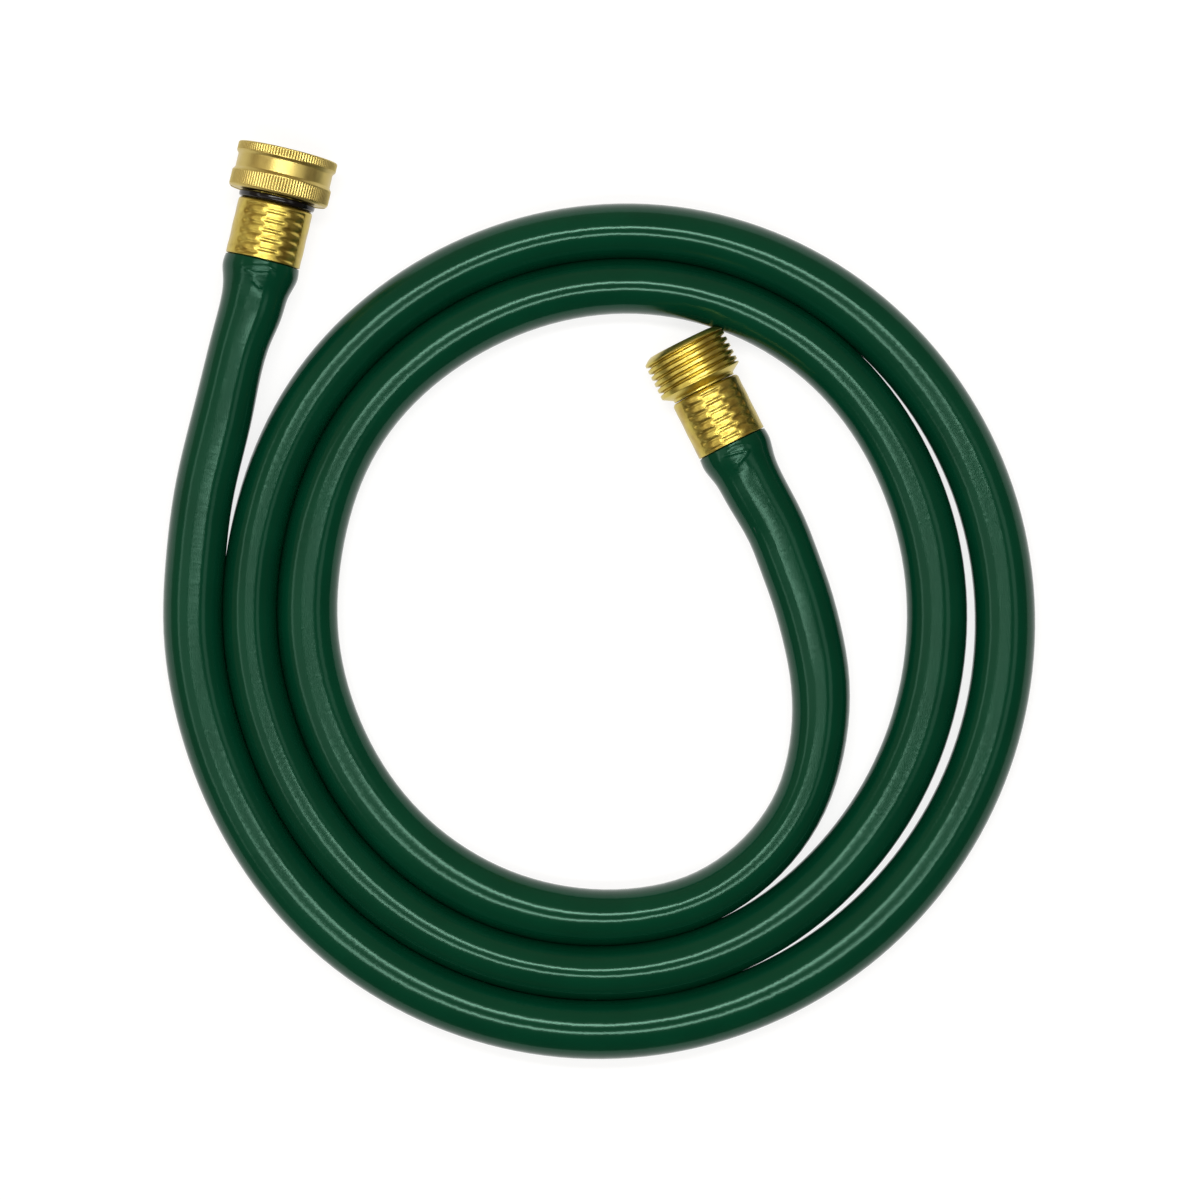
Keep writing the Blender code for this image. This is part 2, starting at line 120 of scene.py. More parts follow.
# Couplings, as in the part
FERRULE_WALL = 0.65 * MM
FERRULE_LIP = 0.8 * MM
FERRULE_SHOULDER = 1.2 * MM
FERRULE_FOOT = 0.25 * MM          # rounding of the edge towards the hose
FEMALE_SEAM = 148                 # degrees round each ferrule where a smooth strip starts
MALE_SEAM = -37
JAWS = 2                          # of the crimping die
PANELS = 3                        # of dents under each jaw
CRIMP_PITCH = 3.05 * MM
CRIMP_DEPTH = 0.3 * MM            # by which the part's sleeve is pressed in
PANEL_OVERLAP = 0.15              # share of a panel by which its dents reach past it
PANEL_EASE = 0.34                 # share of a panel over which they fade
STRIP_REACH = 0.4                 # share of a panel with the dents of a strip's side
DENT_POWER = 3.0                  # narrows a dent: its section is a cosine to this power
STRIP_WIDENING = 1.8              # taken from that power beside a strip
STRIP_DEEPENING = 0.5             # share by which the dents are deeper there
FERRULE_ROWS = 130
FERRULE_COLUMNS = 320
FEMALE_FERRULE_OD = 23.7 * MM
FEMALE_FERRULE_LENGTH = 18.1 * MM
MALE_FERRULE_OD = 22.6 * MM
MALE_FERRULE_LENGTH = 18.9 * MM
TAIL_WALL = 1.3 * MM
BARB_HEIGHT = 0.25 * MM
BARBS = 4
TAIL_SHORT = 1.5 * MM
THREAD_PITCH = 25.4 / 11.5 * MM
MALE_MAJOR_R = 13.45 * MM
MALE_MINOR_R = 12.1 * MM
FEMALE_MINOR_R = 12.25 * MM
FEMALE_MAJOR_R = 13.6 * MM
MALE_NECK_R = 10.35 * MM
MALE_NECK_LENGTH = 2.6 * MM
MALE_SHOULDER = 1.9 * MM
MALE_COLLAR = 0.8 * MM
MALE_FIRST_ROOT = 2.4 * MM        # from the rim to the thread's first groove, on top
MALE_THREAD_LENGTH = 13.6 * MM
MALE_BORE_R = 9.4 * MM
MALE_LIP_R = 10.9 * MM
MALE_CHAMFER = 1.8 * MM
MALE_FLOOR = 1.6 * MM
NUT_R = 15.875 * MM
NUT_WAIST_R = 15.15 * MM
NUT_LENGTH = 14.6 * MM
NUT_MOUTH_BAND = 3.4 * MM
NUT_REAR_BAND = 6.0 * MM
NUT_EDGE = 0.35 * MM
NUT_REAR_EDGE = 0.8 * MM
NUT_BACK = 1.5 * MM
NUT_CAVITY = 4.2 * MM
NUT_PLAY = 0.9 * MM
NUT_DROOP = 1.0                   # degrees by which the loose nut hangs
NUT_SLOPE = 0.45 * MM             # half the run between a band and the waist
NUT_ROW_STEP = 0.22 * MM
KNURL_POINTS = 5                  # columns for each tooth
THREAD_ROWS = 12                  # rows for each pitch of the nut's thread
STEM_NECK_R = 8.5 * MM
STEM_FLANGE_R = 11.6 * MM
STEM_FLANGE = 1.2 * MM
FLANGE_PLAY = 0.9 * MM
WASHER_R = 11.95 * MM
WASHER_HOLE_R = 7.6 * MM
WASHER_THICKNESS = 2.4 * MM
SEAL_R = 11.9 * MM
SEAL_THICKNESS = 1.5 * MM
SEAL_PLAY = 0.4 * MM
SEAL_SPREAD = 0.2 * MM            # by which the squeezed ring bulges and fills its gap
SEAL_FILL = 0.5 * MM              # what it gains in thickness there
ROUND_COLUMNS = 128
SEAL_COLUMNS = 160
MALE_COLUMNS = 192
MALE_ROWS = 150
NUT_LOW = FEMALE_FERRULE_LENGTH + FIT_GAP + SEAL_THICKNESS + SEAL_PLAY
FEMALE_AXIS_Z = (NUT_R * math.cos(math.radians(NUT_DROOP))
                 + NUT_LENGTH / 2 * math.sin(math.radians(NUT_DROOP)))
MALE_AXIS_Z = MALE_MAJOR_R
MALE_REACH = MALE_FERRULE_LENGTH + FIT_GAP + MALE_NECK_LENGTH + MALE_THREAD_LENGTH

# The picture: the lens looks straight down at the hose's middle height
PICTURE_SIDE = 1200
PIXEL = 0.315 * MM                # at the hose's middle height
LENS_HEIGHT = 1.8
SENSOR = 36.0
LENS_PLACE = (0.0, -PIXEL)        # the picture's middle, in the row frame
FLOOR_HALF = 4.0
STRIP_SIZE = (1.44, 0.22)
# Side lights: name, place, size, share of the fill brightness
SIDE_LIGHTS = (("soft_box_left", (-1.35, -0.3, 1.7), (1.1, 1.1), 0.4),
               ("edge_left", (-1.5, -0.1, 1.0), (1.6, 0.2), 1.3),
               ("edge_right", (1.2, 0.0, 1.35), (1.2, 0.42), 0.6))
WINDOW = (-0.45, 0.7, 0.55)       # towards the brightest part of the room


def linear(hex_colour):
    """sRGB hex value as the linear colour that Blender's sockets take."""
    value = np.array([int(hex_colour[k:k + 2], 16) for k in (1, 3, 5)]) / 255
    made = np.where(value <= 0.04045, value / 12.92, ((value + 0.055) / 1.055) ** 2.4)
    return tuple(float(channel) for channel in made)


def direction(turn_deg):
    """Level unit vector that points turn_deg from +Y towards +X."""
    turn = math.radians(turn_deg)
    return np.array((math.sin(turn), math.cos(turn), 0.0))


def smooth_read(values, place):
    """Value at a fractional index, on a Catmull-Rom curve through evenly spaced values."""
    low = int(math.floor(place))
    t = place - low
    p0, p1, p2, p3 = (values[min(max(low + k, 0), len(values) - 1)] for k in (-1, 0, 1, 2))
    return 0.5 * (2 * p1 + (p2 - p0) * t + (2 * p0 - 5 * p1 + 4 * p2 - p3) * t ** 2
                  + (3 * p1 - p0 - 3 * p2 + p3) * t ** 3)


def ease(t):
    """Smooth step from 0 to 1, for a number or an array."""
    t = np.clip(t, 0.0, 1.0)
    return t * t * (3 - 2 * t)


def squeeze(angle):
    """Share of its width that the hose loses at an angle of the coil."""
    return smooth_read(SQUEEZE, (angle - COIL_START) / KNOT_STEP)


def half_width(angle):
    """Level half axis of the oval section: R (1 - squeeze)."""
    return HOSE_OD / 2 * (1 - squeeze(angle))


def half_height(angle):
    """Upright half axis of the oval section: R (1 + SWELL_OF_SQUEEZE squeeze)."""
    return HOSE_OD / 2 * (1 + SWELL_OF_SQUEEZE * squeeze(angle))


def spacing(angle):
    """Distance from the turn outside to this one, centre to centre."""
    opening = smooth_read(OPENING, (angle - COIL_START - 360) / KNOT_STEP)
    return half_width(angle) + half_width(angle - 360) + TURN_GAP + opening


def coil_radius(angle):
    """Radius of the hose's middle: the first turn's own, then each turn inside the last."""
    if angle >= COIL_START + 360:
        return coil_radius(angle - 360) - spacing(angle)
    closed = [*FIRST_TURN_RADIUS[-1:], *FIRST_TURN_RADIUS, *FIRST_TURN_RADIUS[:2]]
    own = smooth_read(closed, (angle - COIL_START) / KNOT_STEP + 1)
    step = ease((angle - STEP_IN[0]) / (STEP_IN[1] - STEP_IN[0]))
    return own - step * spacing(COIL_START + 360)


def polar(angle, radius, height):
    """Point at an angle and radius about the coil's centre, at a height over the floor."""
    turn = math.radians(angle)
    flat = COIL_CENTRE + radius * np.array((math.cos(turn), math.sin(turn)))
    return np.array((*flat, height))


def male_end_radius():
    """Radius at which the male thread's corner just clears the turn it points at: the
    root r of |r outward + corner| = edge."""
    corner = (direction(MALE_TURN) * (MALE_REACH - THREAD_PITCH)
              + direction(MALE_TURN + 90) * MALE_MAJOR_R)
    outward = polar(MALE_LEG_END, 1.0, 0.0) - polar(0, 0.0, 0.0)
    met = MALE_LEG_END - 360 + MALE_TIP_AHEAD
    rise = (MALE_AXIS_Z - half_height(met)) / half_height(met)
    edge = coil_radius(met) - half_width(met) * math.sqrt(1 - rise ** 2) - MALE_TIP_GAP
    along = outward @ corner
    return -along + math.sqrt(along ** 2 - corner @ corner + edge ** 2)


def route():
    """Points along the hose between its ferrules, each with its two half sizes."""
    round_half = HOSE_OD / 2
    points = []
    start = coil_radius(COIL_START)
    female = polar(FEMALE_LEG[0][0], start + FEMALE_LEG[0][1], FEMALE_AXIS_Z)
    female_swell = FEMALE_FERRULE_OD / 2 - round_half
    for distance, share in SWELL:
        half = round_half + share * female_swell
        points.append((*(female - direction(FEMALE_TURN) * distance), half, half))
    lift_from = FEMALE_LEG[0][0]

    def lowered(angle, low):
        """Height of the middle, eased from the female axis down to where it lies."""
        share = ease((angle - lift_from) / (FEMALE_LIFT_END - lift_from))
        return FEMALE_AXIS_Z + (low - FEMALE_AXIS_Z) * share

    for angle, outside in FEMALE_LEG[1:]:
        points.append((*polar(angle, start + outside, lowered(angle, round_half)),
                       half_width(angle), half_height(angle)))
    for angle in range(COIL_START, COIL_END + 1, STATION_STEP):
        points.append((*polar(angle, coil_radius(angle), lowered(angle, half_height(angle))),
                       half_width(angle), half_height(angle)))

    inner_end = male_end_radius()
    last = coil_radius(COIL_END)
    for angle, bow in MALE_LEG:
        share = (angle - COIL_END) / (MALE_LEG_END - COIL_END)
        rise = ease((angle - MALE_LIFT_START) / (MALE_LEG_END - MALE_LIFT_START))
        low = half_height(angle)
        points.append((*polar(angle, last + (inner_end - last) * share - bow,
                              low + (MALE_AXIS_Z - low) * rise), half_width(angle), low))
    male = polar(MALE_LEG_END, inner_end, MALE_AXIS_Z)
    male_swell = MALE_FERRULE_OD / 2 - round_half
    for distance, share in reversed(SWELL):
        half = round_half + share * male_swell
        points.append((*(male - direction(MALE_TURN) * distance), half, half))
    return female, np.array(points), male


def spline(knots, values, places):
    """Natural cubic curve through the rows of values at the knots, read at the places."""
    gap = np.diff(knots)[:, None]
    slope = np.diff(values, axis=0) / gap
    count = len(knots)
    system = np.eye(count)
    right = np.zeros_like(values)
    inner = np.arange(1, count - 1)
    system[inner, inner - 1] = gap[:-1, 0]
    system[inner, inner] = 2 * (gap[:-1, 0] + gap[1:, 0])
    system[inner, inner + 1] = gap[1:, 0]
    right[1:-1] = 6 * np.diff(slope, axis=0)
    bend = np.linalg.solve(system, right)
    piece = np.clip(np.searchsorted(knots, places, side="right") - 1, 0, count - 2)
    t = (places - knots[piece])[:, None]
    h = gap[piece]
    return (values[piece] + t * (slope[piece] - h * (2 * bend[piece] + bend[piece + 1]) / 6)
            + t ** 2 * bend[piece] / 2 + t ** 3 * (bend[piece + 1] - bend[piece]) / (6 * h))


def lengths_along(points):
    """Distance along a chain of points from its first one to each."""
    return np.concatenate(([0.0], np.cumsum(np.linalg.norm(np.diff(points, axis=0), axis=1))))


def round_angles(columns):
    """Angles of evenly spaced columns over one full turn."""
    return np.arange(columns) / columns * math.tau


def skin(name, grid, body, node, finish, around=1.0, along=None, sharp_deg=40):
    """Closed mesh on a grid (rows, columns, 3) that wraps both ways round, with its faces
    turned outwards by the sign of the volume it holds. Its UV map holds metres along the
    rows and round the columns."""
    rows, columns = grid.shape[:2]
    row, column = np.meshgrid(np.arange(rows), np.arange(columns), indexing="ij")
    after, beside = (row + 1) % rows, (column + 1) % columns
    quads = np.stack((row * columns + column, after * columns + column,
                      after * columns + beside, row * columns + beside), -1).reshape(-1, 4)
    points = grid.reshape(-1, 3)
    corner = points[quads]
    middle = corner.mean(1)
    area = np.cross(corner[:, 2] - corner[:, 0], corner[:, 3] - corner[:, 1]) / 2
    turned_out = np.einsum("ij,ij->", middle - points.mean(0), area) > 0
    if along is None:
        along = np.arange(rows) / rows
    step = np.diff(along, append=along[-1])
    round_at = np.arange(columns + 1) / columns * around
    u = np.stack((along[row], along[row] + step[row], along[row] + step[row], along[row]), -1)
    v = np.stack((round_at[column], round_at[column], round_at[column + 1],
                  round_at[column + 1]), -1)
    uv = np.stack((u, v), -1).reshape(-1, 4, 2)
    if not turned_out:
        quads, uv = quads[:, ::-1], uv[:, ::-1]
    mesh = bpy.data.meshes.new(name)
    mesh.from_pydata(points, [], quads)
    layer = mesh.uv_layers.new(name="route")
    layer.data.foreach_set("uv", uv.astype(np.float32).ravel())
    mesh.shade_smooth()
    mesh.set_sharp_from_angle(angle=math.radians(sharp_deg))
    mesh.materials.append(finish)
    made = bpy.data.objects.new(name, mesh)
    bpy.context.scene.collection.objects.link(made)
    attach(made, body)
    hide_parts(node)
    return made


def rounded(corners, steps=4):
    """Profile (radius, z) through corners (radius, z, fillet): each fillet is a quadratic
    curve from one side of its corner to the other. The profile is a closed loop."""
    corners = np.array(corners, float)
    place = corners[:, :2]
    back = np.roll(place, 1, axis=0) - place
    front = np.roll(place, -1, axis=0) - place
    back_long = np.linalg.norm(back, axis=1)
    front_long = np.linalg.norm(front, axis=1)
    cut = np.minimum(corners[:, 2], 0.49 * np.minimum(back_long, front_long))[:, None]
    start = place + back / back_long[:, None] * cut
    end = place + front / front_long[:, None] * cut
    t = np.linspace(0, 1, steps)[None, :, None]
    curve = ((1 - t) ** 2 * start[:, None] + 2 * t * (1 - t) * place[:, None]
             + t ** 2 * end[:, None])
    return curve.reshape(-1, 2)


def resampled(profile, step):
    """The profile with points added, so that none is further than step from the next."""
    at = lengths_along(profile)
    extra = np.arange(0.0, at[-1], step)
    places = np.unique(np.round(np.concatenate((at, extra)), 7))
    keep = np.concatenate(([True], np.diff(places) > 0.1 * step))
    return np.column_stack([np.interp(places[keep], at, profile[:, k]) for k in (0, 1)])


def turned_grid(profile, columns, matrix):
    """Profile (radius, z) spun about the matrix's local Z: x = r cos, y = r sin, z = z."""
    return placed(profile[:, :1], round_angles(columns), profile[:, 1:], matrix)


def placed(radius, turn, z, matrix):
    """Cylinder coordinates about the matrix's local Z, as points of the row frame."""
    radius, turn, z = np.broadcast_arrays(radius, turn, z)
    local = np.stack((radius * np.cos(turn), radius * np.sin(turn), z), -1)
    turning = np.array(matrix.to_3x3())
    return local @ turning.T + np.array(matrix.translation)


def axis_matrix(place, turn_deg, droop_deg=0.0):
    """Frame whose local Z runs along a coupling towards its mouth and whose Y is up."""
    z = direction(turn_deg)
    y = np.array((0.0, 0.0, 1.0))
    made = Matrix(np.stack((np.cross(y, z), y, z), 1).tolist()).to_4x4()
    made.translation = place
    return made @ Matrix.Rotation(math.radians(droop_deg), 4, "X")


def add(tree, kind, inputs=(), **settings):
    """Adds one shader node. inputs maps a socket's name or number to its value, or to the
    socket that feeds it."""
    node = tree.nodes.new(kind)
    for name, value in settings.items():
        setattr(node, name, value)
    for name, value in dict(inputs).items():
        if isinstance(value, bpy.types.NodeSocket):
            tree.links.new(value, node.inputs[name])
        else:
            node.inputs[name].default_value = value
    return node


def new_material(name, constants):
    """Material with a Principled shader whose sockets hold the given constants."""
    made = bpy.data.materials.new(name)
    made.use_nodes = True
    shader = made.node_tree.nodes["Principled BSDF"]
    for socket, value in constants.items():
        shader.inputs[socket].default_value = value
    return made, made.node_tree, shader


def vinyl(look):
    """Extruded flexible PVC, glossy: a smooth skin that ripples along the hose over the
    yarn below it, so a highlight spreads along the hose and stays narrow across it."""
    made, tree, shader = new_material("extruded_green_vinyl", {
        "Roughness": look.roughness, "IOR": 1.5, "Specular IOR Level": look.gloss,
        "Specular Tint": (*linear("#BDFFE0"), 1.0), "Anisotropic": 0.8})
    route_map = add(tree, "ShaderNodeUVMap", uv_map="route")
    tangent = add(tree, "ShaderNodeTangent", direction_type="UV_MAP", uv_map="route")
    tree.links.new(tangent.outputs[0], shader.inputs["Tangent"])
    place = add(tree, "ShaderNodeTexCoord")
    cloud = add(tree, "ShaderNodeTexNoise", {"Vector": place.outputs["Object"],
                                             "Scale": 1 / (18 * MM), "Detail": 2.0})
    tone = add(tree, "ShaderNodeValToRGB", {"Fac": cloud.outputs["Fac"]})
    tone.color_ramp.elements[0].position = 0.35
    tone.color_ramp.elements[0].color = (*(0.88 * c for c in look.colour), 1.0)
    tone.color_ramp.elements[1].position = 0.65
    tone.color_ramp.elements[1].color = (*look.colour, 1.0)
    tree.links.new(tone.outputs[0], shader.inputs["Base Color"])
    below = {}
    for length, width, height in ((1.6 * MM, 9 * MM, look.ripple),
                                  (7 * MM, 14 * MM, look.wave)):
        mapped = add(tree, "ShaderNodeMapping", {"Vector": route_map.outputs[0],
                                                 "Scale": (1 / length, 1 / width, 1.0)})
        relief = add(tree, "ShaderNodeTexNoise", {"Vector": mapped.outputs[0], "Scale": 1.0,
                                                  "Detail": 1.0}, noise_dimensions="2D")
        bump = add(tree, "ShaderNodeBump", {"Height": relief.outputs["Fac"], **below,
                                            "Distance": height, "Strength": 1.0})
        below = {"Normal": bump.outputs[0]}
    tree.links.new(bump.outputs[0], shader.inputs["Normal"])
    return made


def brass(name, colour, roughness, mottle, grain_size=0.5 * MM, grain_height=0.002 * MM):
    """Yellow brass: a metal whose polish varies in soft patches, with a faint grain: the
    marks of handling, or on a crimped sleeve the small creases that pressing leaves."""
    made, tree, shader = new_material(name, {"Metallic": 1.0})
    place = add(tree, "ShaderNodeTexCoord")
    patch = add(tree, "ShaderNodeTexNoise", {"Vector": place.outputs["Object"],
                                             "Scale": 1 / (3.5 * MM), "Detail": 3.0})
    spread = add(tree, "ShaderNodeMapRange", {
        "Value": patch.outputs["Fac"], "From Min": 0.3, "From Max": 0.7,
        "To Min": roughness * 0.85, "To Max": roughness * 1.2})
    tree.links.new(spread.outputs[0], shader.inputs["Roughness"])
    tone = add(tree, "ShaderNodeValToRGB", {"Fac": patch.outputs["Fac"]})
    tone.color_ramp.elements[0].position = 0.3
    # thin brown tarnish takes more of the green and blue than of the red
    tone.color_ramp.elements[0].color = (*(c * (1 - mottle * share) for c, share
                                           in zip(colour, (0.8, 1.0, 1.1))), 1.0)
    tone.color_ramp.elements[1].position = 0.7
    tone.color_ramp.elements[1].color = (*colour, 1.0)
    tree.links.new(tone.outputs[0], shader.inputs["Base Color"])
    grain = add(tree, "ShaderNodeTexNoise", {"Vector": place.outputs["Object"],
                                             "Scale": 1 / grain_size, "Detail": 2.0})
    bump = add(tree, "ShaderNodeBump", {"Height": grain.outputs["Fac"], "Strength": 1.0,
                                        "Distance": grain_height})
    tree.links.new(bump.outputs[0], shader.inputs["Normal"])
    return made


def rubber(name, colour, roughness, grain_height):
    """Moulded black rubber: nearly black, with a soft grey sheen and a faint mould grain."""
    made, tree, shader = new_material(name, {
        "Base Color": (*colour, 1.0), "IOR": 1.52, "Specular IOR Level": 0.3})
    place = add(tree, "ShaderNodeTexCoord")
    grain = add(tree, "ShaderNodeTexNoise", {"Vector": place.outputs["Object"],
                                             "Scale": 1 / (0.6 * MM), "Detail": 3.0})
    spread = add(tree, "ShaderNodeMapRange", {
        "Value": grain.outputs["Fac"], "From Min": 0.3, "From Max": 0.7,
        "To Min": roughness * 0.8, "To Max": roughness * 1.2})
    tree.links.new(spread.outputs[0], shader.inputs["Roughness"])
    bump = add(tree, "ShaderNodeBump", {"Height": grain.outputs["Fac"], "Strength": 1.0,
                                        "Distance": grain_height})
    tree.links.new(bump.outputs[0], shader.inputs["Normal"])
    return made


class HoseLook(bpy.types.PropertyGroup):
    colour: bpy.props.FloatVectorProperty(
        name="Colour", description="Colour of the vinyl", subtype="COLOR", size=3,
        min=0.0, max=1.0, default=linear("#013320"))
    roughness: bpy.props.FloatProperty(
        name="Roughness", description="How much the vinyl spreads a highlight",
        min=0.0, max=1.0, default=0.2)
    gloss: bpy.props.FloatProperty(
        name="Gloss", description="Share of light that the vinyl mirrors",
        min=0.0, max=1.0, default=0.3)
    ripple: bpy.props.FloatProperty(
        name="Ripple", description="Height of the fine ripples along the hose",
        unit="LENGTH", min=0.0, default=0.04 * MM, precision=6)
    wave: bpy.props.FloatProperty(
        name="Wave", description="Height of the slow waves of the skin",
        unit="LENGTH", min=0.0, default=0.06 * MM, precision=6)
    ring_step: bpy.props.FloatProperty(
        name="Ring step", description="Distance between the sections of the skin",
        unit="LENGTH", min=0.5 * MM, default=4.2 * MM)
    sides: bpy.props.IntProperty(
        name="Sides", description="Points round one section", min=12, default=132)


class CouplingLook(bpy.types.PropertyGroup):
    polished: bpy.props.FloatVectorProperty(
        name="Polished brass", description="Colour of ferrules, stem and male fitting",
        subtype="COLOR", size=3, min=0.0, max=1.0, default=linear("#C8B658"))
    satin: bpy.props.FloatVectorProperty(
        name="Satin brass", description="Colour of the swivel nut",
        subtype="COLOR", size=3, min=0.0, max=1.0, default=linear("#C0AD64"))
    knurls: bpy.props.IntProperty(
        name="Knurls", description="Teeth round the swivel nut", min=20, default=104)
    knurl_depth: bpy.props.FloatProperty(
        name="Knurl depth", description="Depth of the knurl", unit="LENGTH",
        min=0.0, default=0.22 * MM, precision=6)
    crimp_depth: bpy.props.FloatProperty(
        name="Crimp depth", description="Depth of the dents pressed into the ferrules",
        unit="LENGTH", min=0.0, default=0.28 * MM, precision=6)
    seam: bpy.props.FloatProperty(
        name="Seam", description="Angle of the smooth strip between two crimp jaws",
        subtype="ANGLE", default=math.radians(79))
    unevenness: bpy.props.FloatProperty(
        name="Unevenness", description="Height of the slow waves that crimping leaves",
        unit="LENGTH", min=0.0, default=0.04 * MM, precision=6)


def across_and_up(centre):
    """Unit vectors across and up at each of the section centres of a run."""
    along = np.gradient(centre, axis=0)
    along /= np.linalg.norm(along, axis=1)[:, None]
    side = np.cross(along, (0.0, 0.0, 1.0))
    side /= np.linalg.norm(side, axis=1)[:, None]
    return side, np.cross(side, along)


def hose_inside_r(ferrule_od):
    """Outer radius of the hose where a crimped ferrule holds it."""
    return ferrule_od / 2 - FERRULE_WALL - CRIMP_DEPTH - FIT_GAP


def hose_bore_r(ferrule_od):
    """Radius of the hose's bore inside a ferrule."""
    return hose_inside_r(ferrule_od) - HOSE_WALL


def hose_sections(step):
    """Centres and half sizes of the hose's sections, end to end. Outside the ferrules a
    natural cubic curve runs through the route's points; inside one the hose is straight."""
    female, points, male = route()
    knots = lengths_along(points[:, :3])
    total = knots[-1]
    near = np.concatenate((np.arange(0.0, FINE_END, FINE_STEP),
                           np.arange(FINE_END, NEAR_END, NEAR_STEP)))
    coil = np.linspace(NEAR_END, total - NEAR_END, int((total - 2 * NEAR_END) / step))
    visible = spline(knots, points, np.concatenate((near, coil, total - near[::-1])))
    visible[:, 3] += TURN_LAP

    def inside(end, turn, ferrule_od, length):
        """Sections from a ferrule's edge to the hose's end face in it."""
        deep = (length - FERRULE_LIP - FIT_GAP) * INSIDE_SHARES
        centre = end + direction(turn) * np.concatenate((-EDGE_AHEAD, deep))[:, None]
        half = np.concatenate((ferrule_od / 2 - EDGE_INSET,
                               np.full(len(deep), hose_inside_r(ferrule_od))))
        return np.column_stack((centre, half, half))

    head = inside(female, FEMALE_TURN, FEMALE_FERRULE_OD, FEMALE_FERRULE_LENGTH)[::-1]
    tail = inside(male, MALE_TURN, MALE_FERRULE_OD, MALE_FERRULE_LENGTH)
    return female, np.concatenate((head, visible, tail))


def fold_height(from_ferrule, to_right, folds):
    """Height of the folds at rows and columns of the skin, in metres: each one falls off
    from its line as height exp(-(distance / half width)^2)."""
    place = np.stack(np.broadcast_arrays(from_ferrule[:, None], to_right[None, :]), -1) / MM
    made = np.zeros(place.shape[:2])
    for line, height, half in folds:
        line = np.array(line)
        nearest = np.full(made.shape, np.inf)
        for start, end in zip(line[:-1], line[1:]):
            leg = end - start
            t = np.clip((place - start) @ leg / (leg @ leg), 0, 1)[..., None]
            nearest = np.minimum(nearest, np.linalg.norm(place - start - t * leg, axis=-1))
        made += height * MM * np.exp(-(nearest / half) ** 2)
    return made * ease(from_ferrule / FOLD_RISE)[:, None]


class HOSE_OT_skin(bpy.types.Operator):
    """Make the hose: an oval section carried along the coil, with its bore"""
    bl_idname = "hose.skin"
    bl_label = "Hose"

    def execute(self, context):
        look = context.scene.hose_look
        female, sections = hose_sections(look.ring_step)
        centre = sections[:, :3]
        across, up = across_and_up(centre)
        turn = round_angles(look.sides)
        # the grid's seam lies underneath, and its columns stand closer together on top
        turn += TOP_CROWDING * np.sin(turn)
        level, upright = np.sin(turn)[None, :, None], -np.cos(turn)[None, :, None]

        along = lengths_along(centre)
        arc = (turn - math.pi) * HOSE_OD / 2
        lift = (fold_height(along - along[INSIDE_SECTIONS], arc, FEMALE_FOLDS)
                + fold_height(along[-1 - INSIDE_SECTIONS] - along, -arc, MALE_FOLDS))

        def rings(rows, inset, raised=0.0):
            """Oval rings: centre + across width sin(turn) - up height cos(turn)."""
            width = (sections[rows, 3] - inset)[:, None] + raised
            height = (sections[rows, 4] - inset)[:, None] + raised
            return (centre[rows, None] + across[rows, None] * width[..., None] * level
                    + up[rows, None] * height[..., None] * upright)

        every = np.arange(len(centre))
        bore = np.unique(np.concatenate((every[::BORE_STRIDE], every[-1:])))[::-1]
        grid = np.concatenate((rings(every, 0.0, lift), rings(bore, HOSE_WALL)))
        hose = skin("hose_skin", grid, "hose_line", "hose", vinyl(look),
                    around=math.pi * HOSE_OD, along=np.concatenate((along, along[bore])),
                    sharp_deg=60)
        return {"FINISHED"}


def barbed_tail(bore_r, length):
    """Outer side of a barbed tail, from the hose's end face down to its tip."""
    radius = bore_r - FIT_GAP
    run = length - TAIL_SHORT
    profile = []
    for barb in range(BARBS):
        top = length - run * barb / BARBS
        profile += [(radius, top, 0.0), (radius - BARB_HEIGHT, top - 0.1 * MM, 0.0)]
    return profile + [(radius - BARB_HEIGHT, TAIL_SHORT, 0.1 * MM)]


def crimp(turn, z, length, shift, look):
    """Depth of the crimp at an angle from a seam strip's start and a height, in metres.
    Two jaws close on the ferrule and leave two smooth strips. Each jaw presses PANELS
    panels of short dents, whose rows are CRIMP_PITCH apart, half a pitch out of step from
    panel to panel, and deepest beside the strips."""
    jaw = math.tau / JAWS
    panel = (jaw - look.seam) / PANELS
    place = turn % jaw
    to_strip = np.minimum(place - look.seam, jaw - place) / panel
    beside = np.exp(-(np.maximum(to_strip, 0) / STRIP_REACH) ** 2)
    made = np.zeros(np.broadcast(turn, z).shape)
    for number in range(PANELS):
        across = (place - look.seam) / panel - number
        groove = 0.5 - 0.5 * np.cos(math.tau * (z / CRIMP_PITCH + shift + 0.5 * (number % 2)))
        reach = (ease((across + PANEL_OVERLAP) / PANEL_EASE)
                 * ease((1 + PANEL_OVERLAP - across) / PANEL_EASE))
        made += (reach * groove ** (DENT_POWER - STRIP_WIDENING * beside)
                 * (1 + STRIP_DEEPENING * beside))
    fade = ease(z / (0.4 * CRIMP_PITCH)) * ease((length - FERRULE_SHOULDER - z)
                                                / (0.2 * CRIMP_PITCH))
    return look.crimp_depth * fade * made


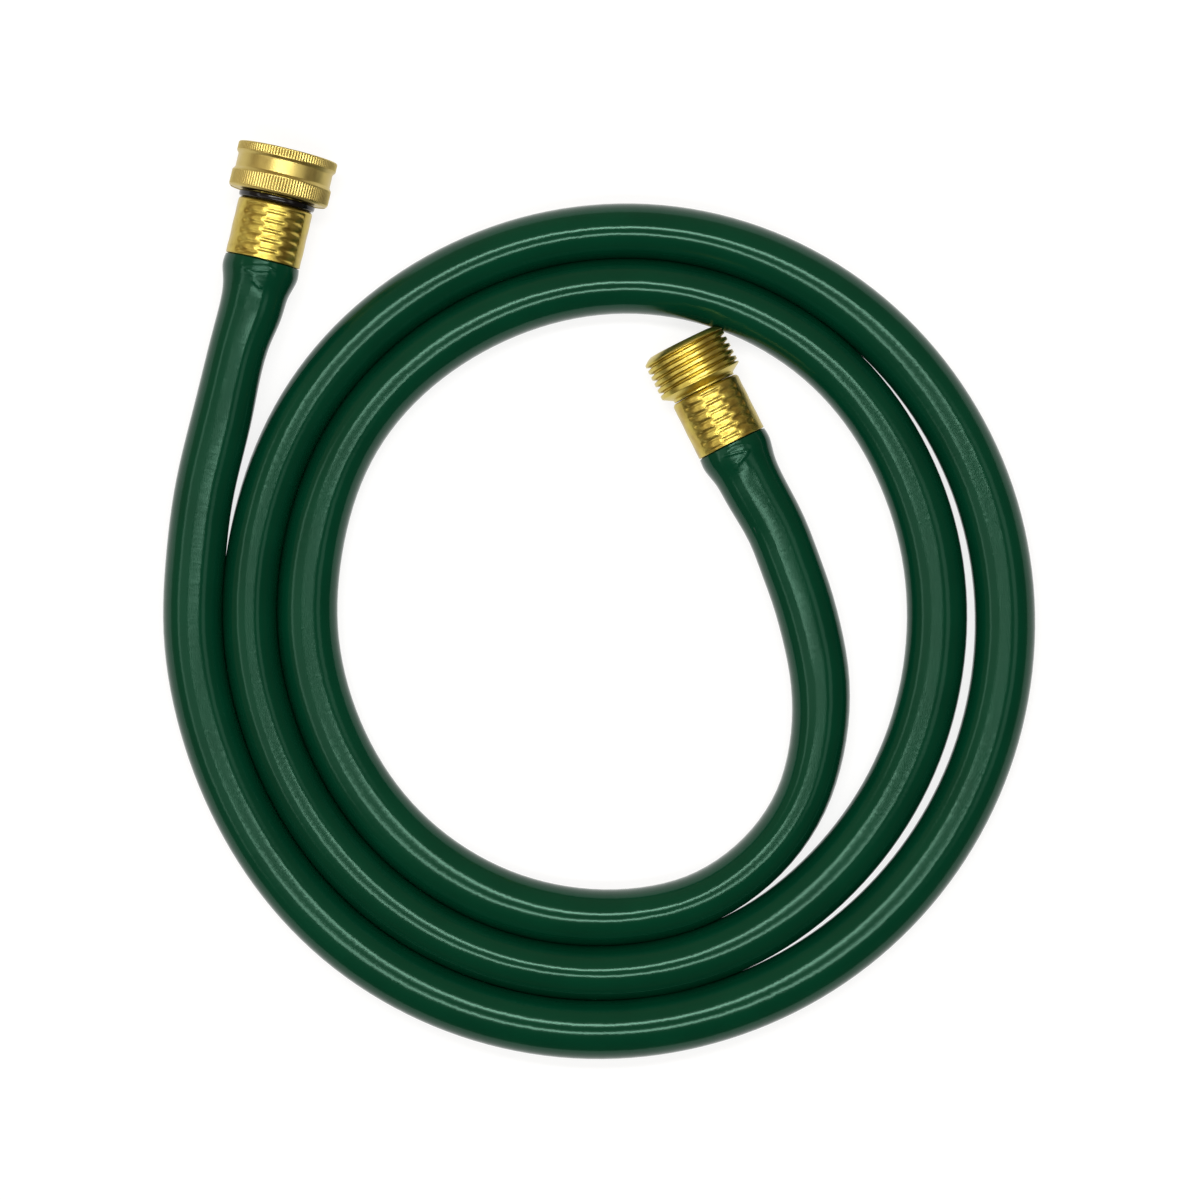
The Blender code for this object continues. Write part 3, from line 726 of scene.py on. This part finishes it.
def ferrule(name, node, ferrule_od, length, neck_r, matrix, seam_deg, shift, look, finish):
    """Crimped sleeve, plain inside. Outside r = R - crimp(turn, z) + two slow waves, three
    and five to the turn, which die out towards both ends."""
    radius = ferrule_od / 2
    bore = radius - FERRULE_WALL - CRIMP_DEPTH
    hole = neck_r + FIT_GAP
    outer_z = np.linspace(length - FERRULE_SHOULDER, FERRULE_FOOT, FERRULE_ROWS)[:, None]
    turn = round_angles(FERRULE_COLUMNS)
    dents = crimp(turn - math.radians(seam_deg), outer_z, length, shift, look)
    uneven = look.unevenness * (np.sin(3 * turn + 1.0) * np.sin(outer_z / MM * 0.9)
                                + np.sin(5 * turn) * np.cos(outer_z / MM * 0.55))
    outer = radius - dents + uneven * ease(outer_z / (3 * MM)) * ease((length - outer_z)
                                                                      / (5 * MM))
    bend = np.linspace(0, math.pi / 2, 9)[:-1]
    shoulder = np.column_stack((radius - FERRULE_SHOULDER * (1 - np.sin(bend)),
                                length - FERRULE_SHOULDER * (1 - np.cos(bend))))
    foot = np.column_stack((radius - FERRULE_FOOT * (1 - np.cos(bend)),
                            FERRULE_FOOT * (1 - np.sin(bend))))[1:]
    rest = rounded([(bore, 0.0, 0.1 * MM), (bore, length - FERRULE_LIP, 0.2 * MM),
                    (hole, length - FERRULE_LIP, 0.1 * MM), (hole, length, 0.15 * MM)], 3)

    ends = [turned_grid(profile, FERRULE_COLUMNS, matrix) for profile in (shoulder, foot, rest)]
    grid = np.concatenate((ends[0], placed(outer, turn, outer_z, matrix), *ends[1:]))
    return skin(name, grid, "hose_line", node, finish, sharp_deg=70)


class HOSE_OT_ferrules(bpy.types.Operator):
    """Make the two crimped brass ferrules"""
    bl_idname = "hose.ferrules"
    bl_label = "Ferrules"

    def execute(self, context):
        look = context.scene.coupling_look
        female, _, male = route()
        finish = brass("crimped_yellow_brass", look.polished, 0.33, 0.4, 1.5 * MM, 0.075 * MM)
        ferrule("female_ferrule_skin", "female_ferrule", FEMALE_FERRULE_OD,
                FEMALE_FERRULE_LENGTH, STEM_NECK_R, axis_matrix(female, FEMALE_TURN),
                FEMALE_SEAM, 0.04, look, finish)
        ferrule("male_ferrule_skin", "male_ferrule", MALE_FERRULE_OD, MALE_FERRULE_LENGTH,
                hose_bore_r(MALE_FERRULE_OD) - FIT_GAP, axis_matrix(male, MALE_TURN),
                MALE_SEAM, 0.36, look, finish)
        return {"FINISHED"}


def thread_share(phase, crest=0.36, root=0.2):
    """Share of the thread's depth over one pitch, whose flat parts are crest and root: 1 at
    a crest (phase 0), 0 at a root (phase 0.5), with eased flanks."""
    from_crest = np.abs((phase + 0.5) % 1.0 - 0.5)
    flank = (1 - crest - root) / 2
    return ease((0.5 - root / 2 - from_crest) / flank)


class HOSE_OT_nut(bpy.types.Operator):
    """Make the swivel nut: two knurled bands, a smooth waist and an inner thread"""
    bl_idname = "hose.nut"
    bl_label = "Swivel nut"

    def execute(self, context):
        look = context.scene.coupling_look
        female = route()[0]
        middle = female + direction(FEMALE_TURN) * (NUT_LOW + NUT_LENGTH / 2)
        matrix = axis_matrix(middle, FEMALE_TURN, NUT_DROOP)
        high, low = NUT_LENGTH / 2, -NUT_LENGTH / 2
        mouth_end, rear_end = high - NUT_MOUTH_BAND, low + NUT_REAR_BAND
        columns = look.knurls * KNURL_POINTS
        turn = round_angles(columns)
        outer = resampled(rounded([
            (NUT_R - NUT_EDGE, high, 0.12 * MM), (NUT_R, high - NUT_EDGE, 0.2 * MM),
            (NUT_R, mouth_end + NUT_SLOPE, 0.3 * MM),
            (NUT_WAIST_R, mouth_end - NUT_SLOPE, 0.3 * MM),
            (NUT_WAIST_R, rear_end + NUT_SLOPE, 0.3 * MM),
            (NUT_R, rear_end - NUT_SLOPE, 0.3 * MM), (NUT_R, low + NUT_REAR_EDGE, 0.9 * MM),
            (NUT_R - NUT_REAR_EDGE, low, 0.4 * MM)]), NUT_ROW_STEP)
        hole = STEM_NECK_R + NUT_PLAY
        thread_low = low + NUT_BACK + NUT_CAVITY
        back = rounded([(hole, low, 0.2 * MM), (hole, low + NUT_BACK, 0.1 * MM),
                        (FEMALE_MAJOR_R, low + NUT_BACK, 0.2 * MM),
                        (FEMALE_MAJOR_R, thread_low, 0.0)], 3)
        # the knurl: teeth that fade out at both edges of each band
        z = outer[:, 1:]
        band = np.where(z > 0, ease((z - mouth_end - NUT_SLOPE) / (0.4 * MM))
                        * ease((high - z - 0.2 * MM) / (0.4 * MM)),
                        ease((rear_end - NUT_SLOPE - z) / (0.4 * MM))
                        * ease((z - low - 0.8 * NUT_REAR_EDGE) / (0.5 * MM)))
        tooth = (np.abs((turn * look.knurls / math.tau) % 1.0 - 0.5) * 2) ** 1.5
        outside = placed(outer[:, :1] - look.knurl_depth * band * tooth, turn, z, matrix)
        rows = int((high - thread_low) / THREAD_PITCH * THREAD_ROWS)
        deep = np.linspace(thread_low, high, rows)[:, None]
        fade = np.clip(np.minimum(deep - thread_low, high - deep) / (0.6 * THREAD_PITCH), 0, 1)
        share = thread_share(deep / THREAD_PITCH - turn / math.tau) * fade
        inner_r = FEMALE_MAJOR_R - (FEMALE_MAJOR_R - FEMALE_MINOR_R) * share
        grid = np.concatenate((outside, turned_grid(back, columns, matrix),
                               placed(inner_r, turn, deep, matrix)))
        skin("swivel_nut_skin", grid, "nut", "swivel_nut",
             brass("turned_satin_brass", look.satin, 0.38, 0.06))
        return {"FINISHED"}


class HOSE_OT_washers(bpy.types.Operator):
    """Make the hose washer in the nut and the seal ring behind it"""
    bl_idname = "hose.washers"
    bl_label = "Washer and seal ring"

    def execute(self, context):
        female = route()[0]
        flange_high = NUT_LOW + NUT_BACK + FLANGE_PLAY + STEM_FLANGE
        middle = female + direction(FEMALE_TURN) * (NUT_LOW + NUT_LENGTH / 2)
        low = flange_high - NUT_LOW - NUT_LENGTH / 2 + FLANGE_PLAY
        high = low + WASHER_THICKNESS
        fillet = 0.3 * MM
        washer = rounded([(WASHER_HOLE_R, high, fillet), (WASHER_R, high, fillet),
                          (WASHER_R, low, fillet), (WASHER_HOLE_R, low, fillet)], 5)
        skin("hose_washer_skin", turned_grid(washer, ROUND_COLUMNS,
                                             axis_matrix(middle, FEMALE_TURN, NUT_DROOP)),
             "nut", "hose_washer",
             rubber("moulded_washer_rubber", linear("#262626"), 0.6, 0.01 * MM))
        # soft rubber, squeezed: it fills the part's working gaps
        seal_low = FEMALE_FERRULE_LENGTH + FIT_GAP - SEAL_SPREAD
        seal_high = seal_low + SEAL_THICKNESS + SEAL_FILL
        hole = STEM_NECK_R + FIT_GAP
        outside = SEAL_R + SEAL_SPREAD
        seal = rounded([(hole, seal_high, 0.2 * MM), (outside, seal_high, 0.6 * MM),
                        (outside, seal_low, 0.95 * MM), (hole, seal_low, 0.2 * MM)], 9)
        skin("seal_ring_skin",
             turned_grid(seal, SEAL_COLUMNS, axis_matrix(female, FEMALE_TURN)),
             "hose_line", "seal_ring",
             rubber("glossy_seal_rubber", linear("#070609"), 0.16, 0.001 * MM))
        return {"FINISHED"}


class HOSE_OT_stem(bpy.types.Operator):
    """Make the brass stem that the nut turns on"""
    bl_idname = "hose.stem"
    bl_label = "Stem"

    def execute(self, context):
        look = context.scene.coupling_look
        female = route()[0]
        flange_low = NUT_LOW + NUT_BACK + FLANGE_PLAY
        flange_high = flange_low + STEM_FLANGE
        bore_r = hose_bore_r(FEMALE_FERRULE_OD)
        face = FEMALE_FERRULE_LENGTH - FERRULE_LIP
        bore = bore_r - FIT_GAP - BARB_HEIGHT - TAIL_WALL
        edge = 0.15 * MM
        profile = rounded([(bore, flange_high, 0.3 * MM), (STEM_FLANGE_R, flange_high, edge),
                           (STEM_FLANGE_R, flange_low, edge), (STEM_NECK_R, flange_low, edge),
                           (STEM_NECK_R, face, 0.0), *barbed_tail(bore_r, face),
                           (bore, TAIL_SHORT, edge)], 3)
        skin("female_stem_skin",
             turned_grid(profile, ROUND_COLUMNS, axis_matrix(female, FEMALE_TURN)),
             "hose_line", "female_stem",
             brass("machined_yellow_brass", look.polished, 0.25, 0.08))
        return {"FINISHED"}


class HOSE_OT_male(bpy.types.Operator):
    """Make the male fitting: a threaded mouth, a neck and a barbed tail"""
    bl_idname = "hose.male"
    bl_label = "Male fitting"

    def execute(self, context):
        look = context.scene.coupling_look
        male = route()[2]
        matrix = axis_matrix(male, MALE_TURN)
        bore_r = hose_bore_r(MALE_FERRULE_OD)
        neck_hole = bore_r - FIT_GAP
        neck_low = MALE_FERRULE_LENGTH + FIT_GAP
        thread_low = neck_low + MALE_NECK_LENGTH
        thread_high = thread_low + MALE_THREAD_LENGTH
        face = MALE_FERRULE_LENGTH - FERRULE_LIP
        tail_bore = bore_r - FIT_GAP - BARB_HEIGHT - TAIL_WALL
        turn = round_angles(MALE_COLUMNS)
        collar_high = thread_low + MALE_COLLAR
        z = np.linspace(thread_high - 0.2 * MM, thread_low + 0.3 * MM, MALE_ROWS)[:, None]
        down = thread_high - z
        short = 1 - np.clip(down / MALE_CHAMFER, 0, 1)
        lead = MALE_MAJOR_R - (MALE_MAJOR_R - MALE_LIP_R) * short ** 1.4
        cut = ease((down - MALE_CHAMFER) / (0.5 * MM)) * ease((z - collar_high + 0.4 * MM)
                                                            / (0.5 * MM))
        # a root is half a pitch from a crest, and the top a quarter turn from local X
        phase = (MALE_FIRST_ROOT - down) / THREAD_PITCH + 0.75 - turn / math.tau
        share = thread_share(phase, 0.42, 0.06)
        radius = np.minimum(MALE_MAJOR_R - (MALE_MAJOR_R - MALE_MINOR_R) * cut * (1 - share),
                            lead)
        # the mouth's outer corners and the first one behind only give the others their sides
        steps = 4
        mouth = rounded([(MALE_BORE_R, thread_high - 1.0 * MM, 0.0),
                         (MALE_BORE_R, thread_high, 0.4 * MM),
                         (MALE_LIP_R, thread_high, 0.2 * MM),
                         (MALE_LIP_R + 0.3 * MM, thread_high - 0.2 * MM, 0.0)],
                        steps)[steps:3 * steps]
        behind = rounded([(MALE_MAJOR_R, thread_low + 0.4 * MM, 0.0),
                          (MALE_MAJOR_R, thread_low, 0.25 * MM),
                          (MALE_NECK_R, thread_low - MALE_SHOULDER, 0.6 * MM),
                          (MALE_NECK_R, neck_low, 0.15 * MM), (neck_hole, neck_low, 0.1 * MM),
                          (neck_hole, face, 0.0), *barbed_tail(bore_r, face)[1:],
                          (tail_bore, TAIL_SHORT, 0.1 * MM),
                          (tail_bore, thread_low + MALE_FLOOR, 0.2 * MM),
                          (MALE_BORE_R, thread_low + MALE_FLOOR, 0.2 * MM),
                          (MALE_BORE_R, thread_high - 1.0 * MM, 0.0)], steps)[steps:]
        grid = np.concatenate((turned_grid(mouth, MALE_COLUMNS, matrix),
                               placed(radius, turn, z, matrix),
                               turned_grid(behind, MALE_COLUMNS, matrix)))
        skin("male_fitting_skin", grid, "hose_line", "male_fitting",
             brass("polished_yellow_brass_thread", look.polished, 0.32, 0.1), sharp_deg=60)
        return {"FINISHED"}


def area_light(name, place, size, radiance):
    """White rectangular light that faces the origin. Its watts follow from its radiance: a
    flat lamp of area A and radiance L gives pi A L."""
    data = bpy.data.lights.new(name, "AREA")
    data.shape = "RECTANGLE"
    data.size, data.size_y = size
    data.energy = math.pi * size[0] * size[1] * radiance
    lamp = bpy.data.objects.new(name, data)
    bpy.context.scene.collection.objects.link(lamp)
    away = np.array(place) / np.linalg.norm(place)
    across = np.array((1.0, 0.0, 0.0)) if abs(away[0]) < 0.3 else np.array((0.0, 1.0, 0.0))
    up = np.cross(away, across)
    up /= np.linalg.norm(up)
    made = Matrix(np.stack((np.cross(up, away), up, away), 1).tolist()).to_4x4()
    made.translation = place
    lamp.matrix_world = made


class StageLook(bpy.types.PropertyGroup):
    strip_offset: bpy.props.FloatProperty(
        name="Strip offset", description="Angle between the lens and each long strip light",
        subtype="ANGLE", default=math.radians(15.5))
    strip_radiance: bpy.props.FloatProperty(
        name="Strip brightness", description="Radiance of the strip lights",
        min=0.0, default=20.0)
    fill_radiance: bpy.props.FloatProperty(
        name="Fill brightness", description="Radiance of the side lights",
        min=0.0, default=2.0)
    glow: bpy.props.FloatProperty(
        name="Floor glow", description="Light that the floor sheet gives by itself",
        min=0.0, default=0.78)
    sky: bpy.props.FloatProperty(
        name="Room brightness", description="Radiance of the room all round",
        min=0.0, default=0.45)


class HOSE_OT_stage(bpy.types.Operator):
    """Set up the pale floor, the soft lights and the lens that looks straight down"""
    bl_idname = "hose.stage"
    bl_label = "Stage"

    def execute(self, context):
        scene = context.scene
        look = scene.stage_look
        scene.view_settings.view_transform = "Standard"
        half = FLOOR_HALF
        mesh = bpy.data.meshes.new("studio_floor")
        mesh.from_pydata([(-half, -half, 0), (half, -half, 0), (half, half, 0),
                          (-half, half, 0)], [], [(0, 1, 2, 3)])
        # matt paper: a pale grey that glows faintly, so it stays white around the hose
        sweep = new_material("white_studio_sweep", {
            "Base Color": (*linear("#898989"), 1.0), "Roughness": 0.9,
            "Specular IOR Level": 0.1, "Emission Color": (1.0, 1.0, 1.0, 1.0),
            "Emission Strength": look.glow})[0]
        mesh.materials.append(sweep)
        floor = bpy.data.objects.new("studio_floor", mesh)
        scene.collection.objects.link(floor)

        world = bpy.data.worlds.new("studio")
        world.use_nodes = True
        tree = world.node_tree
        background = tree.nodes["Background"]
        background.inputs["Color"].default_value = (*linear("#FFE8CC"), 1.0)
        # the room brightens towards one big window, up behind the hose on the left
        facing = add(tree, "ShaderNodeVectorMath",
                     {0: add(tree, "ShaderNodeTexCoord").outputs["Generated"],
                      1: WINDOW}, operation="DOT_PRODUCT")
        brightness = add(tree, "ShaderNodeMapRange", {
            "Value": facing.outputs["Value"], "From Min": -0.2, "From Max": 1.0,
            "To Min": 0.3 * look.sky, "To Max": look.sky}, interpolation_type="SMOOTHSTEP")
        tree.links.new(brightness.outputs[0], background.inputs["Strength"])
        scene.world = world

        strip_y = LENS_HEIGHT * math.tan(look.strip_offset)
        for side, name, share in ((1, "strip_back", 1.0), (-1, "strip_front", 0.75)):
            area_light(name, (0.0, side * strip_y, LENS_HEIGHT), STRIP_SIZE,
                       look.strip_radiance * share)
        for name, place, size, share in SIDE_LIGHTS:
            area_light(name, place, size, look.fill_radiance * share)

        data = bpy.data.cameras.new("lens")
        data.sensor_width = SENSOR
        depth = LENS_HEIGHT - HOSE_OD / 2
        data.lens = SENSOR * depth / (PICTURE_SIDE * PIXEL)
        data.clip_end = 20.0
        camera = bpy.data.objects.new("lens", data)
        camera.location = (*LENS_PLACE, LENS_HEIGHT)
        scene.collection.objects.link(camera)
        scene.camera = camera
        return {"FINISHED"}


class HOSE_PT_panel(bpy.types.Panel):
    """Sidebar panel that lists the pieces and their settings"""
    bl_idname = "HOSE_PT_panel"
    bl_label = "Garden hose"
    bl_space_type = "VIEW_3D"
    bl_region_type = "UI"
    bl_category = "Hose"

    def draw(self, context):
        for group in ("hose_look", "coupling_look", "stage_look"):
            box = self.layout.box()
            settings = getattr(context.scene, group)
            for name in settings.__annotations__:
                box.prop(settings, name)
        for step in STEPS:
            self.layout.operator(step.bl_idname)


STEPS = (HOSE_OT_ferrules, HOSE_OT_nut, HOSE_OT_washers, HOSE_OT_stem, HOSE_OT_male,
         HOSE_OT_skin, HOSE_OT_stage)
GROUPS = {"hose_look": HoseLook, "coupling_look": CouplingLook, "stage_look": StageLook}


def register():
    """Register the settings, the operators and the panel."""
    for kind in (*GROUPS.values(), *STEPS, HOSE_PT_panel):
        bpy.utils.register_class(kind)
    for name, kind in GROUPS.items():
        setattr(bpy.types.Scene, name, bpy.props.PointerProperty(type=kind))


def unregister():
    """Take away what register added."""
    for name in GROUPS:
        delattr(bpy.types.Scene, name)
    for kind in reversed((*GROUPS.values(), *STEPS, HOSE_PT_panel)):
        bpy.utils.unregister_class(kind)


def main():
    """Build every piece and the stage."""
    register()
    bpy.ops.hose.ferrules()
    bpy.ops.hose.nut()
    bpy.ops.hose.washers()
    bpy.ops.hose.stem()
    bpy.ops.hose.male()
    bpy.ops.hose.skin()
    bpy.ops.hose.stage()


if __name__ == "__main__":
    main()
